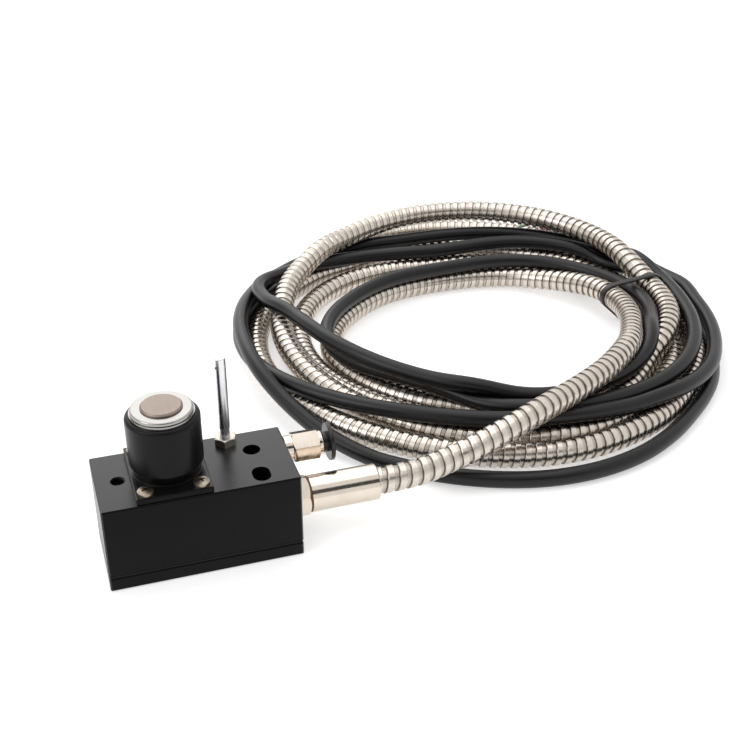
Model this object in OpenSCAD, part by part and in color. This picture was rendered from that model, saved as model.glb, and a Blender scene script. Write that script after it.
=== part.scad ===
// Tool setter for a machine table: a sprung round contact head on a block,
// with a blow tube, a push-in air fitting and an armoured lead laid in a coil.
// Millimetres. Origin at the middle of the underside, X along the block, Z up.

/* [Block] */
// Length of the block
block_l = 76; // [72:1:90]
// Width of the block
block_w = 38; // [37:0.5:48]
// Height of the block above its gasket
block_h = 30.5; // [29:0.5:40]
// Chamfer along the block's edges
block_chamfer = 0.6; // [0.3:0.1:1]
// Thickness of the base plate
plate_t = 6; // [5:0.5:10]
// Thickness of the base gasket
gasket_t = 0.5; // [0.3:0.1:1]
// Set-back of the gasket from the block's sides
gasket_inset = 0.4; // [0.2:0.1:1]
// Height of the switch chamber in the underside
chamber_h = 17; // [15:0.5:18]
// Width of the switch chamber
chamber_w = 22; // [21:0.5:23]
// Corner radius of the switch chamber
chamber_r = 4; // [2:0.5:6]
// Distance of the vent plug from the block's left end
vent_inset = 8.8; // [8:0.2:9.6]
// Inset of the base screws from the sides
base_screw_inset = 4.8; // [4.6:0.1:5.2]
// Thread diameter of the base screws
base_screw_d = 4; // [3:0.5:4]

/* [Mounting] */
// Diameter of the mounting hole
mount_hole_d = 7; // [5:0.5:7.5]
// Width of the mounting slot
slot_w = 7; // [5:0.5:7.5]
// Length of the mounting slot across the block
slot_l = 9.6; // [8:0.2:10]
// Distance of hole and slot from the block's right end
mount_inset = 14; // [13:0.5:16]
// Distance of the hole behind the block's middle
mount_hole_y = 5.5; // [5:0.1:6]
// Distance of the slot in front of the block's middle
slot_y = 11.8; // [11:0.1:12.2]

/* [Contact head] */
// Distance of the head's axis left of the block's middle
head_offset = 10; // [9:0.5:11]
// Size of the flange along the block
flange_w = 29; // [28:0.5:31]
// Size of the flange across the block
flange_l = 36.6; // [35.6:0.2:37]
// Thickness of the flange
flange_t = 2.6; // [2:0.2:4]
// Spacing of the flange screws along the block
flange_screw_dx = 21; // [20:0.5:22]
// Spacing of the flange screws across the block
flange_screw_dy = 29; // [28:0.5:29.5]
// Thread diameter of the flange screws
flange_screw_d = 3; // [2:0.5:3]
// Diameter of the fixed boss inside the sleeve
boss_d = 25; // [23:0.5:25.5]
// Diameter of the lip at the boss's foot
lip_d = 27; // [26:0.5:28]
// Height of the lip at the boss's foot
lip_h = 0.4; // [0.2:0.1:1]
// Outside diameter of the sliding sleeve
sleeve_d = 28.5; // [28:0.5:30]
// Height of the sliding sleeve
sleeve_h = 20; // [18:0.5:26]
// Thickness of the sleeve's top
sleeve_top_t = 3; // [2.6:0.2:4]
// Radius of the sleeve's top shoulder
sleeve_round = 1.6; // [0.8:0.2:1.8]
// Diameter of the cap ring
cap_d = 24.7; // [22:0.1:25]
// Height of the cap ring above the sleeve
cap_rise = 2.7; // [2:0.1:4]
// Diameter of the contact disc
disc_d = 16; // [12:0.5:18]
// Height of the contact disc above the cap ring
disc_rise = 1.1; // [0.6:0.1:2]
// Travel of the head
head_travel = 3.5; // [2:0.5:5]
// Diameter of the plunger's shaft
shaft_d = 10; // [8:0.5:10]
// Outside diameter of the guide bush
bush_d = 14; // [13.5:0.5:15]
// Height of the spring's seat above the flange
spring_seat = 4.4; // [3:0.2:6]
// Wire diameter of the return spring
spring_wire = 1.3; // [0.8:0.1:1.4]
// Turns of the return spring
spring_turns = 4.5; // [3.5:0.5:6]

/* [Blow tube] */
// Distance of the blow tube from the block's right end
tube_inset = 22.7; // [21:0.1:23]
// Outside diameter of the blow tube
tube_d = 4.5; // [4:0.1:5]
// Bore of the blow tube
tube_bore = 2; // [1.2:0.1:2.2]
// Diameter of the blow tube's side jet
jet_d = 1; // [0.6:0.1:1.4]
// Depth of the side jet below the blow tube's top
jet_drop = 4; // [3:0.5:6]
// Height of the blow tube's top above the block
tube_rise = 39; // [30:1:60]
// Diameter of the tube's threaded neck
tube_neck_d = 3.7; // [3:0.1:3.8]
// Neck left in sight between nut and tube
tube_neck_gap = 3.9; // [1:0.1:5]
// Size of the tube's hex bush across its flats
tube_hex_af = 8; // [7:0.5:9]
// Height of the tube's hex bush
tube_hex_h = 3.2; // [2.5:0.1:5]
// Thread diameter of the tube's hex bush
tube_stud_d = 5; // [4.5:0.5:5.5]

/* [Air fitting] */
// Distance of the air line from the block's back
air_inset = 5.2; // [5:0.1:6]
// Depth of the air line below the block's top
air_drop = 8; // [7.5:0.5:10]
// Thread diameter of the fitting
air_stud_d = 6; // [5:0.5:6]
// Diameter of the air passage
air_way_d = 3; // [2:0.5:3.5]
// Thickness of the fitting's sealing washer
air_washer_t = 1; // [0.6:0.2:1.6]
// Diameter of the fitting's collar
air_collar_d = 10.5; // [9.5:0.1:11]
// Length of the fitting's collar
air_collar_l = 3; // [2:0.5:5]
// Size of the fitting's hexagon across its flats
air_hex_af = 11.5; // [11:0.5:14]
// Length of the fitting's hexagon
air_hex_l = 11; // [10:0.5:14]
// Length of the fitting's rounded shoulder
air_nose_l = 2.3; // [1.8:0.1:2.6]
// Diameter of the air tube that pushes in
air_tube_d = 6; // [5:0.5:6]
// Diameter of the release ring
release_d = 16; // [13:0.5:18]
// Thickness of the release ring's rim
release_t = 1.8; // [1.2:0.2:3]
// Travel of the release ring
release_travel = 1.2; // [0.6:0.1:1.4]

/* [Lead gland] */
// Distance of the gland in front of the block's middle
gland_y = 2.5; // [2:0.1:3]
// Height of the gland above the base gasket
gland_rise = 10; // [9.5:0.5:12]
// Thread diameter of the gland
gland_stud_d = 10; // [9:0.5:10]
// Length of thread in the block
gland_stud_l = 7; // [5:0.5:8]
// Bore for the lead's cores
core_way_d = 5; // [4:0.5:5]
// Size of the gland nut across its flats
gland_nut_af = 15; // [14:0.5:17]
// Thickness of the gland nut
gland_nut_t = 6; // [4:0.5:8]
// Thickness of the gland gasket
gland_gasket_t = 0.6; // [0.4:0.1:1.2]
// Diameter of the gland sleeve
gland_d = 15; // [14.5:0.5:17]
// Length of the gland sleeve
gland_l = 28.6; // [22:0.2:36]
// Depth of the hose in the gland sleeve
hose_depth = 18; // [12:1:20]
// Diameter of a core wire
core_d = 1.8; // [1.2:0.1:2]

/* [Armoured lead] */
// Diameter of the armoured hose
hose_d = 11.5; // [10:0.5:12]
// Inner radius of the lead's coil
coil_inner = 64; // [50:1:70]
// Outer radius of the lead's coil
coil_outer = 135; // [130:1:146]
// Height of the lead's coil
coil_h = 25; // [22:1:30]
// Width of the cable tie
tie_w = 4.8; // [3:0.2:6]
// Thickness of the cable tie
tie_t = 1.2; // [0.8:0.1:2]

/* [Clearances] */
// Gap all round a seated or threaded piece
seat_gap = 0.03; // [0.01:0.01:0.06]
// Gap all round the plunger in its bush
shaft_gap = 0.02; // [0.01:0.01:0.06]
// Gap all round the release ring in its bore
release_gap = 0.05; // [0.02:0.01:0.1]
// Gap all round the sleeve over the boss
sleeve_gap = 0.3; // [0.2:0.05:0.5]
// Gap between the wiper ring and the sleeve
wiper_gap = 0.08; // [0.05:0.01:0.15]
// Space left under a moving piece at the end of its travel
end_gap = 0.5; // [0.4:0.1:1]
// Gap between the contacts at rest
contact_gap = 0.05; // [0.03:0.01:0.1]
// Gap all round a screw's shank or a passing shaft
pass_gap = 0.2; // [0.15:0.05:0.4]

/* [Hidden] */
$fn = 64;
over = 1;
hex_to_corner = 2 / sqrt(3);

// Levels of the block
block_z = plate_t + gasket_t;
block_top = block_z + block_h;
chamber_z = block_z + chamber_h;
end_x = block_l / 2;
head_x = -head_offset;

// Switch chamber, from under the vent plug to the right of the contacts
vent_x = vent_inset - end_x;
vent_room = 1.8;
core_room = 8;
carrier_l = 30;
core_end_x = head_x + carrier_l / 2 + pass_gap;
chamber_left_x = vent_x - vent_room;
chamber_right_x = core_end_x + core_room;
chamber_l = chamber_right_x - chamber_left_x;
chamber_x = (chamber_left_x + chamber_right_x) / 2;

// Vent plug over the left end of the chamber
vent_plug_d = 4.6;
vent_plug_l = 4;
vent_plug_drop = 3;
vent_chamfer = 0.6;
vent_way_d = 1.5;
vent_key_af = 2;
vent_key_depth = 1.6;

// Base screws
base_screw_x = block_l / 2 - base_screw_inset;
base_screw_y = block_w / 2 - base_screw_inset;
base_head_d = 1.9 * base_screw_d;
base_head_h = (base_head_d - base_screw_d) / 2;
base_head_drop = 0.3;
base_screw_l = 14;
base_key_af = 2.5;
base_key_depth = 1.4;

// Levels of the contact head
flange_top = block_top + flange_t;
rim_z = flange_top + lip_h + head_travel + end_gap;
sleeve_top = rim_z + sleeve_h;
sleeve_in_d = boss_d + 2 * sleeve_gap;
ceiling_z = sleeve_top - sleeve_top_t;
boss_top = ceiling_z - head_travel - end_gap;
seat_z = flange_top + spring_seat;
spigot_d = bush_d + 4;
spigot_l = 5.5;
spigot_z = block_top - spigot_l;
pocket_d = bush_d + 1;
flange_chamfer = 0.4;
flange_head_d = 2.1 * flange_screw_d;
flange_head_h = 0.55 * flange_screw_d;
flange_crown = 0.4 * flange_head_h;
flange_screw_l = 8;
flange_key_l = flange_screw_d;
flange_key_w = 0.28 * flange_screw_d;
flange_key_depth = 0.35 * flange_screw_d;
flange_key_turn = 20;

// Wiper ring in the boss, under the sleeve
wiper_w = 1.6;
wiper_depth = 1.2;
wiper_z = boss_top - 5;
wiper_in_d = boss_d - 2 * wiper_depth;

// Cap ring and disc
cap_recess = 1;
cap_z = sleeve_top - cap_recess;
cap_top = sleeve_top + cap_rise;
cap_step = 0.45;
cap_band_h = 1.1;
cap_groove = 0.3;
cap_round = 0.9;
disc_top = cap_top + disc_rise;
disc_bevel = 0.6;
stud_d = 0.8 * shaft_d;

// Contacts in the chamber
carrier_t = 3;
carrier_w = 18;
carrier_z = chamber_z - carrier_t;
pin_d = 2.5;
pin_reach = 7;
pin_out = 1;
pin_bevel = 0.4;
pin_z = carrier_z - pin_out;
bridge_d = 18;
bridge_t = 2;
bridge_top = pin_z - contact_gap;
bridge_z = bridge_top - bridge_t;
bridge_bore = 5;
bridge_screw_d = 3;
bridge_screw_l = 8;
bridge_head_d = 6;
bridge_head_h = 2;
bridge_crown = 1.5;
bridge_key_af = 2;
bridge_key_depth = 1;
carrier_screw_d = 2;
carrier_screw_x = 12.2;
carrier_head_d = 3.8;
carrier_head_h = 1.3;
carrier_thread_l = 6;
carrier_key_w = 0.6;
carrier_key_depth = 0.6;

// Return spring between its seat and the sleeve's top
spring_r = (shaft_d / 2 + pocket_d / 2) / 2;
spring_len = ceiling_z - seat_z;
spring_steps = 14;
spring_sides = 8;
spring_dead = 1;

// Blow tube and its bush
tube_x = end_x - tube_inset;
air_y = block_w / 2 - air_inset;
tube_hex_top = block_top + tube_hex_h;
tube_foot = tube_hex_top + tube_neck_gap;
tube_top = block_top + tube_rise;
tube_stud_l = 5;
tube_socket = 3;
tube_hex_chamfer = 0.4;
tube_hex_turn = 16;
tube_neck_z = tube_hex_top - tube_socket + pass_gap;
jet_heading = atan2(-air_y, head_x - tube_x);
tube_chamfer = 0.3;

// Air line and fitting, measured out from the block's end
air_z = block_top - air_drop;
air_stud_l = 7;
air_port_l = air_stud_l + pass_gap;
air_collar_x = air_washer_t;
air_hex_x = air_collar_x + air_collar_l;
air_nose_x = air_hex_x + air_hex_l;
air_end_x = air_nose_x + air_nose_l;
air_hex_chamfer = 0.5;
air_hex_turn = 4;
air_nose_d = 0.87 * air_hex_af;
release_wall = 1;
release_bore = air_tube_d + 0.4;
release_sleeve_d = release_bore + 2 * release_wall;
release_bore_d = release_sleeve_d + 2 * release_gap;
release_rim_x = air_end_x + release_travel + end_gap;
release_grip = 3.2;
release_foot = air_end_x - release_grip;
gripper_l = 1.6;
gripper_end = release_foot - release_travel - end_gap;
gripper_x = gripper_end - gripper_l;
seal_d = 1.5;
seal_pocket_l = seal_d + 2 * seat_gap;
seal_x = gripper_x - seal_pocket_l;
seal_r = air_tube_d / 2 + seat_gap + seal_d / 2;
seal_pocket_d = 2 * (seal_r + seal_d / 2 + seat_gap);
tube_stop_x = seal_x - 2;

// Lead gland, measured out from the block's end
gland_z = block_z + gland_rise;
gland_gasket_x = gland_nut_t;
gland_sleeve_x = gland_nut_t + gland_gasket_t;
gland_end_x = gland_sleeve_x + gland_l;
gland_port_l = gland_stud_l + pass_gap;
gland_nut_chamfer = 0.7;
gland_nut_turn = 5;
gland_chamfer = 0.5;
hose_socket_d = hose_d + 0.3;
hose_foot_x = gland_end_x - hose_depth;

// Cores from the gland to the end face of the contact carrier
core_y = 1.2;
core_sides = 8;
core_level = 1.5;
core_end_z = carrier_z + carrier_t / 2;
core_rise = core_end_z - gland_z;
core_rise_l = core_room - core_level;
core_route = [
    [end_x + gland_sleeve_x, gland_z], [end_x, gland_z], [chamber_right_x, gland_z],
    for (share = [0.2, 0.4, 0.6, 0.8, 1])
        [chamber_right_x - share * core_rise_l, gland_z + core_rise * (1 - cos(180 * share)) / 2],
    [core_end_x, core_end_z]
];

// Lead from the gland to the coil, as steps from the middle of the gland sleeve's outer end
lead_route = [
    [-17.8, 0, 0], [-9, 0, 0], [0, 0, 0], [7, 0, 0], [14, 0.5, 0], [21, 1.5, 0], [26, 2.5, 0.5],
    [33.5, 4.5, 1]
];
lead_sides = 12;
lead_end = lead_route[len(lead_route) - 1];
lead_bite = 2.5;
coil_heading = 61.2;
coil_x = lead_end[0] + (coil_outer - lead_bite) * cos(coil_heading);
coil_y = lead_end[1] + (coil_outer - lead_bite) * sin(coil_heading);
coil_edge = 12;
coil_shoulder = 0.7 * coil_h;

// Tie round the coil's inner turns, its outer leg between two turns
tie_angle = 2;
tie_gap = 0.3;
tie_span = 40;
tie_reach = coil_inner + tie_span;

// Section of the coil: flat below, low at both edges, highest where the turns cross
coil_section = [
    [coil_inner, 0], [coil_inner, hose_d],
    [coil_inner + coil_edge, coil_shoulder], [coil_inner + 3 * coil_edge, coil_h],
    [coil_outer - 2 * coil_edge, coil_h], [coil_outer - coil_edge, coil_shoulder],
    [coil_outer, hose_d], [coil_outer, 0]
];

// Section of the turns that the tie holds, grown by a gap
function tie_section(grow, foot) = [
    [coil_inner - grow, foot], [coil_inner - grow, hose_d + grow / 2],
    [coil_inner + coil_edge, coil_shoulder + grow], [coil_inner + 3 * coil_edge, coil_h + grow],
    [tie_reach + grow, coil_h + grow], [tie_reach + grow, foot]
];

// Unit vector along v
function unit(v) = v / norm(v);
// Direction of a route at point i
function heading(p, i) = unit(p[min(i + 1, len(p) - 1)] - p[max(i - 1, 0)]);
// Level vector across a direction
function across(t) = unit(cross(t, [0, 0, 1]));
// Ring of n points round a route's point
function ring_at(c, t, r, n) =
    let (u = across(t), v = cross(u, t))
    [for (k = [0 : n - 1]) c + r * (cos(360 * k / n) * u + sin(360 * k / n) * v)];

// Closed round tube that follows a route
module sweep(route, d, n) {
    count = len(route);
    points = [for (i = [0 : count - 1]) each ring_at(route[i], heading(route, i), d / 2, n)];
    sides = [
        for (i = [0 : count - 2]) for (k = [0 : n - 1])
            let (a = i * n + k, b = i * n + (k + 1) % n)
            each [[a, b, b + n], [a, b + n, a + n]]
    ];
    first = [for (k = [n - 1 : -1 : 0]) k];
    last = [for (k = [0 : n - 1]) (count - 1) * n + k];
    polyhedron(points, concat([first], sides, [last]));
}

// Rectangle with rounded corners
module round_rect(l, w, r) {
    square([l - 2 * r, w], center = true);
    square([l, w - 2 * r], center = true);
    for (x = [-1, 1], y = [-1, 1])
        translate([x * (l / 2 - r), y * (w / 2 - r)]) circle(r);
}

// Rectangle with cut corners
module cut_rect(l, w, c) {
    polygon([
        [-l / 2 + c, -w / 2], [l / 2 - c, -w / 2], [l / 2, -w / 2 + c], [l / 2, w / 2 - c],
        [l / 2 - c, w / 2], [-l / 2 + c, w / 2], [-l / 2, w / 2 - c], [-l / 2, -w / 2 + c]
    ]);
}

// Box standing on z = 0 with every edge chamfered
module chamfered_box(l, w, h, c) {
    intersection() {
        linear_extrude(h) cut_rect(l, w, c);
        translate([0, 0, h / 2]) rotate([90, 0, 0]) linear_extrude(w, center = true) cut_rect(l, h, c);
        translate([0, 0, h / 2]) rotate([90, 0, 90]) linear_extrude(l, center = true) cut_rect(w, h, c);
    }
}

// Places children at the air line, looking out of the block's right end
module at_air_port() {
    translate([end_x, air_y, air_z]) rotate([0, 90, 0]) children();
}

// Places children at the gland, looking out of the block's right end
module at_gland() {
    translate([end_x, -gland_y, gland_z]) rotate([0, 90, 0]) children();
}

// Places children at each corner of a rectangle
module at_corners(x, y) {
    for (i = [-1, 1], j = [-1, 1]) translate([i * x, j * y, 0]) children();
}

// Through cut for the mounting hole and slot
module mounting_cut(z0, z1) {
    translate([end_x - mount_inset, mount_hole_y, z0]) cylinder(d = mount_hole_d, h = z1 - z0);
    translate([end_x - mount_inset, -slot_y, z0]) linear_extrude(z1 - z0) {
        square([slot_w, slot_l - slot_w], center = true);
        for (j = [-1, 1]) translate([0, j * (slot_l - slot_w) / 2]) circle(d = slot_w);
    }
}

// Hexagon prism with its corners turned off at one or both ends
module turned_hex(af, h, c, both) {
    intersection() {
        cylinder(d = af * hex_to_corner, h = h, $fn = 6);
        rotate_extrude() polygon([
            [0, 0], [af * hex_to_corner / 2 - (both ? 1.7 * c : 0), 0],
            [af * hex_to_corner / 2, both ? c : 0], [af * hex_to_corner / 2, h - c],
            [af * hex_to_corner / 2 - 1.7 * c, h], [0, h]
        ]);
    }
}

// Screw with a domed head, its seat at z = 0 and its thread below
module dome_screw(d, head_d, head_h, crown, l) {
    rim = head_h - crown;
    crown_r = (pow(head_d / 2, 2) + pow(crown, 2)) / (2 * crown);
    translate([0, 0, -l]) cylinder(d = d, h = l + rim);
    rotate_extrude() {
        square([head_d / 2, rim]);
        intersection() {
            translate([0, head_h - crown_r]) circle(r = crown_r);
            translate([0, rim]) square([head_d / 2, crown]);
        }
    }
}

// Cross recess, cut down from z = 0
module cross_key(l, w, depth) {
    for (a = [0, 90]) rotate([0, 0, a]) translate([-l / 2, -w / 2, -depth]) cube([l, w, depth + over]);
}

// Hexagon socket, cut down from z = 0
module hex_key(af, depth) {
    translate([0, 0, -depth]) cylinder(d = af * hex_to_corner, h = depth + over, $fn = 6);
}

module block() {
    color("#2b2a2c") difference() {
        translate([0, 0, block_z]) chamfered_box(block_l, block_w, block_h, block_chamfer);
        translate([chamber_x, 0, block_z - over])
            linear_extrude(chamber_h + over) round_rect(chamber_l, chamber_w, chamber_r);
        translate([head_x, 0, spigot_z - pass_gap])
            cylinder(d = spigot_d + 2 * seat_gap, h = spigot_l + pass_gap + over);
        translate([head_x, 0, chamber_z - over]) cylinder(d = shaft_d + 8 * pass_gap, h = block_h);
        mounting_cut(block_z - over, block_top + over);
        translate([head_x, 0, block_top - flange_screw_l - pass_gap])
            at_corners(flange_screw_dx / 2, flange_screw_dy / 2)
            cylinder(d = flange_screw_d + 2 * seat_gap, h = flange_screw_l + pass_gap + over);
        translate([0, 0, block_z - over]) at_corners(base_screw_x, base_screw_y)
            cylinder(d = base_screw_d + 2 * seat_gap, h = base_head_drop + base_screw_l + over);
        for (i = [-1, 1]) translate([head_x + i * carrier_screw_x, 0, chamber_z - over])
            cylinder(d = carrier_screw_d + 2 * seat_gap, h = carrier_thread_l + pass_gap + over);
        translate([vent_x, 0, block_top - vent_plug_drop - vent_plug_l - pass_gap])
            cylinder(d = vent_plug_d + 2 * seat_gap, h = vent_plug_l + vent_plug_drop + pass_gap + over);
        translate([vent_x, 0, chamber_z - over]) cylinder(d = vent_way_d, h = block_h);
        translate([vent_x, 0, block_top - vent_chamfer])
            cylinder(d1 = vent_plug_d, d2 = vent_plug_d + 4 * vent_chamfer, h = 2 * vent_chamfer);
        translate([tube_x, air_y, block_top - tube_stud_l - pass_gap])
            cylinder(d = tube_stud_d + 2 * seat_gap, h = tube_stud_l + pass_gap + over);
        translate([tube_x, air_y, air_z]) cylinder(d = air_way_d, h = air_drop);
        at_air_port() translate([0, 0, -air_port_l])
            cylinder(d = air_stud_d + 2 * seat_gap, h = air_port_l + over);
        at_air_port() translate([0, 0, -tube_inset]) cylinder(d = air_way_d, h = tube_inset);
        at_gland() translate([0, 0, -gland_port_l])
            cylinder(d = gland_stud_d + 2 * seat_gap, h = gland_port_l + over);
        at_gland() translate([0, 0, -(end_x - chamber_x - chamber_l / 2) - over])
            cylinder(d = core_way_d, h = end_x);
    }
}

module base_plate() {
    color("#232324") difference() {
        chamfered_box(block_l, block_w, plate_t, block_chamfer);
        mounting_cut(-over, plate_t + over);
        at_corners(base_screw_x, base_screw_y) {
            translate([0, 0, -over]) cylinder(d = base_screw_d + 2 * pass_gap, h = plate_t + 2 * over);
            translate([0, 0, -over]) cylinder(d = base_head_d + 2 * pass_gap, h = base_head_drop + over);
            translate([0, 0, base_head_drop])
                cylinder(d1 = base_head_d + 2 * pass_gap, d2 = base_screw_d + 2 * pass_gap, h = base_head_h);
        }
    }
}

module base_gasket() {
    color("#151515") translate([0, 0, plate_t]) linear_extrude(gasket_t) difference() {
        square([block_l - 2 * gasket_inset, block_w - 2 * gasket_inset], center = true);
        translate([chamber_x, 0]) round_rect(chamber_l, chamber_w, chamber_r);
        translate([end_x - mount_inset, mount_hole_y]) circle(d = mount_hole_d);
        translate([end_x - mount_inset, -slot_y]) {
            square([slot_w, slot_l - slot_w], center = true);
            for (j = [-1, 1]) translate([0, j * (slot_l - slot_w) / 2]) circle(d = slot_w);
        }
        for (i = [-1, 1], j = [-1, 1]) translate([i * base_screw_x, j * base_screw_y])
            circle(d = base_screw_d + 2 * pass_gap);
    }
}

module base_screws() {
    color("#8d8d8f") at_corners(base_screw_x, base_screw_y) difference() {
        translate([0, 0, base_head_drop]) rotate_extrude() polygon([
            [0, 0], [base_head_d / 2, 0], [base_screw_d / 2, base_head_h],
            [base_screw_d / 2, base_screw_l], [0, base_screw_l]
        ]);
        translate([0, 0, base_head_drop]) rotate([180, 0, 0]) hex_key(base_key_af, base_key_depth);
    }
}

module vent_plug() {
    color("#77777a") translate([vent_x, 0, block_top - vent_plug_drop - vent_plug_l]) difference() {
        cylinder(d = vent_plug_d, h = vent_plug_l);
        translate([0, 0, vent_plug_l]) hex_key(vent_key_af, vent_key_depth);
    }
}

module head_base() {
    color("#1d1d1f") translate([head_x, 0, 0]) difference() {
        union() {
            translate([0, 0, block_top]) chamfered_box(flange_w, flange_l, flange_t, flange_chamfer);
            translate([0, 0, spigot_z]) cylinder(d = spigot_d, h = spigot_l + flange_t);
            translate([0, 0, block_top]) rotate_extrude() polygon([
                [0, over], [lip_d / 2, over], [lip_d / 2, flange_t + lip_h / 2],
                [lip_d / 2 - lip_h / 2, flange_t + lip_h], [boss_d / 2, flange_t + lip_h],
                [boss_d / 2, boss_top - block_top - over], [boss_d / 2 - over, boss_top - block_top],
                [0, boss_top - block_top]
            ]);
        }
        translate([0, 0, spigot_z - over])
            cylinder(d = bush_d + 2 * seat_gap, h = seat_z - spigot_z + 2 * over);
        translate([0, 0, seat_z]) cylinder(d = pocket_d, h = boss_top - seat_z + over);
        translate([0, 0, wiper_z]) rotate_extrude()
            translate([wiper_in_d / 2, 0]) square([boss_d, wiper_w + 2 * seat_gap]);
        translate([0, 0, block_top - over]) at_corners(flange_screw_dx / 2, flange_screw_dy / 2)
            cylinder(d = flange_screw_d + 2 * pass_gap, h = flange_t + 2 * over);
    }
}

module flange_screws() {
    color("#d9d7d3") translate([head_x, 0, flange_top])
        at_corners(flange_screw_dx / 2, flange_screw_dy / 2) difference() {
            dome_screw(flange_screw_d, flange_head_d, flange_head_h, flange_crown, flange_screw_l + flange_t);
            translate([0, 0, flange_head_h]) rotate([0, 0, flange_key_turn])
                cross_key(flange_key_l, flange_key_w, flange_key_depth);
        }
}

module guide_bush() {
    color("#b08a4a") translate([head_x, 0, spigot_z]) difference() {
        cylinder(d = bush_d, h = seat_z - spigot_z);
        translate([0, 0, -over]) cylinder(d = shaft_d + 2 * shaft_gap, h = seat_z - spigot_z + 2 * over);
    }
}

module wiper_ring() {
    color("#101010") translate([head_x, 0, wiper_z + seat_gap]) difference() {
        cylinder(d = sleeve_in_d - 2 * wiper_gap, h = wiper_w);
        translate([0, 0, -over]) cylinder(d = wiper_in_d + 2 * seat_gap, h = wiper_w + 2 * over);
    }
}

// Close-wound at both ends, with an even climb between
module return_spring() {
    free = spring_len - 2 * contact_gap - spring_wire;
    dead = spring_dead * 0.55 * spring_wire;
    live = free - 2 * dead;
    steps = spring_turns * spring_steps;
    route = [
        for (i = [0 : steps])
            let (s = i / spring_steps, a = 360 * s)
            let (low = min(s, spring_dead) * dead / spring_dead)
            let (high = max(s - spring_turns + spring_dead, 0) * dead / spring_dead)
            let (mid = min(max(s - spring_dead, 0), spring_turns - 2 * spring_dead))
            [spring_r * cos(a), spring_r * sin(a), low + high + mid * live / (spring_turns - 2 * spring_dead)]
    ];
    color("#c9c9cc") translate([head_x, 0, seat_z + contact_gap + spring_wire / 2])
        sweep(route, spring_wire, spring_sides);
}

module head_sleeve() {
    color("#1b1b1d") translate([head_x, 0, 0]) difference() {
        rotate_extrude() {
            translate([0, rim_z]) square([sleeve_d / 2, sleeve_h - sleeve_round]);
            translate([0, rim_z]) square([sleeve_d / 2 - sleeve_round, sleeve_h]);
            translate([sleeve_d / 2 - sleeve_round, sleeve_top - sleeve_round]) circle(sleeve_round);
        }
        translate([0, 0, rim_z - over]) cylinder(d = sleeve_in_d, h = ceiling_z - rim_z + over);
        translate([0, 0, ceiling_z - over]) cylinder(d = stud_d + 2 * seat_gap, h = sleeve_top_t + 2 * over);
        translate([0, 0, cap_z]) cylinder(d = cap_d + 2 * seat_gap, h = cap_recess + over);
    }
}

module cap_ring() {
    r = cap_d / 2;
    band = cap_recess + cap_band_h;
    h = cap_recess + cap_rise;
    color("#e6e3df") translate([head_x, 0, cap_z]) rotate_extrude() difference() {
        union() {
            square([r, band]);
            square([r - cap_step - cap_groove, band + cap_groove]);
            translate([0, band + cap_groove]) square([r - cap_step, h - band - cap_groove - cap_round]);
            square([r - cap_step - cap_round, h]);
            translate([r - cap_step - cap_round, h - cap_round]) circle(cap_round);
        }
        translate([0, -over]) square([disc_d / 2 + seat_gap, h + 2 * over]);
    }
}

module contact_disc() {
    h = disc_top - cap_z;
    color("#b9ada3") translate([head_x, 0, cap_z]) rotate_extrude() polygon([
        [0, 0], [disc_d / 2, 0], [disc_d / 2, h - disc_bevel], [disc_d / 2 - disc_bevel, h], [0, h]
    ]);
}

module plunger_shaft() {
    color("#c4c2bf") translate([head_x, 0, 0]) difference() {
        union() {
            translate([0, 0, bridge_top]) cylinder(d = shaft_d, h = ceiling_z - bridge_top);
            translate([0, 0, ceiling_z - over]) cylinder(d = stud_d, h = cap_z - ceiling_z + over);
            translate([0, 0, bridge_z]) cylinder(d = bridge_bore - 2 * seat_gap, h = bridge_t + over);
        }
        translate([0, 0, bridge_z - over])
            cylinder(d = bridge_screw_d + 2 * seat_gap, h = bridge_screw_l + over + pass_gap);
    }
}

module contact_bridge() {
    color("#c9a15a") translate([head_x, 0, bridge_z]) difference() {
        cylinder(d = bridge_d, h = bridge_t);
        translate([0, 0, -over]) cylinder(d = bridge_bore, h = bridge_t + 2 * over);
    }
}

module bridge_screw() {
    color("#bdbdbf") translate([head_x, 0, bridge_z]) rotate([180, 0, 0]) difference() {
        dome_screw(bridge_screw_d, bridge_head_d, bridge_head_h, bridge_crown, bridge_screw_l);
        translate([0, 0, bridge_head_h]) hex_key(bridge_key_af, bridge_key_depth);
    }
}

module contact_carrier() {
    color("#7d3b22") translate([head_x, 0, carrier_z]) difference() {
        linear_extrude(carrier_t) round_rect(carrier_l, carrier_w, 2);
        translate([0, 0, -over]) cylinder(d = shaft_d + 4 * pass_gap, h = carrier_t + 2 * over);
        for (j = [-1, 1]) translate([0, j * pin_reach, -over])
            cylinder(d = pin_d + 2 * seat_gap, h = carrier_t + 2 * over);
        for (i = [-1, 1]) translate([i * carrier_screw_x, 0, -over])
            cylinder(d = carrier_screw_d + 2 * pass_gap, h = carrier_t + 2 * over);
    }
}

module contact_pins() {
    color("#d0aa5c") for (j = [-1, 1]) translate([head_x, j * pin_reach, pin_z])
        rotate_extrude() polygon([
            [0, 0], [pin_d / 2 - pin_bevel, 0], [pin_d / 2, pin_bevel],
            [pin_d / 2, pin_out + carrier_t], [0, pin_out + carrier_t]
        ]);
}

module carrier_screws() {
    color("#bdbdbf") for (i = [-1, 1]) translate([head_x + i * carrier_screw_x, 0, carrier_z]) difference() {
        union() {
            translate([0, 0, -carrier_head_h]) cylinder(d = carrier_head_d, h = carrier_head_h);
            translate([0, 0, -over / 2])
                cylinder(d = carrier_screw_d, h = carrier_t + carrier_thread_l + over / 2);
        }
        translate([-carrier_head_d, -carrier_key_w / 2, -carrier_head_h - over])
            cube([2 * carrier_head_d, carrier_key_w, carrier_key_depth + over]);
    }
}

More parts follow.
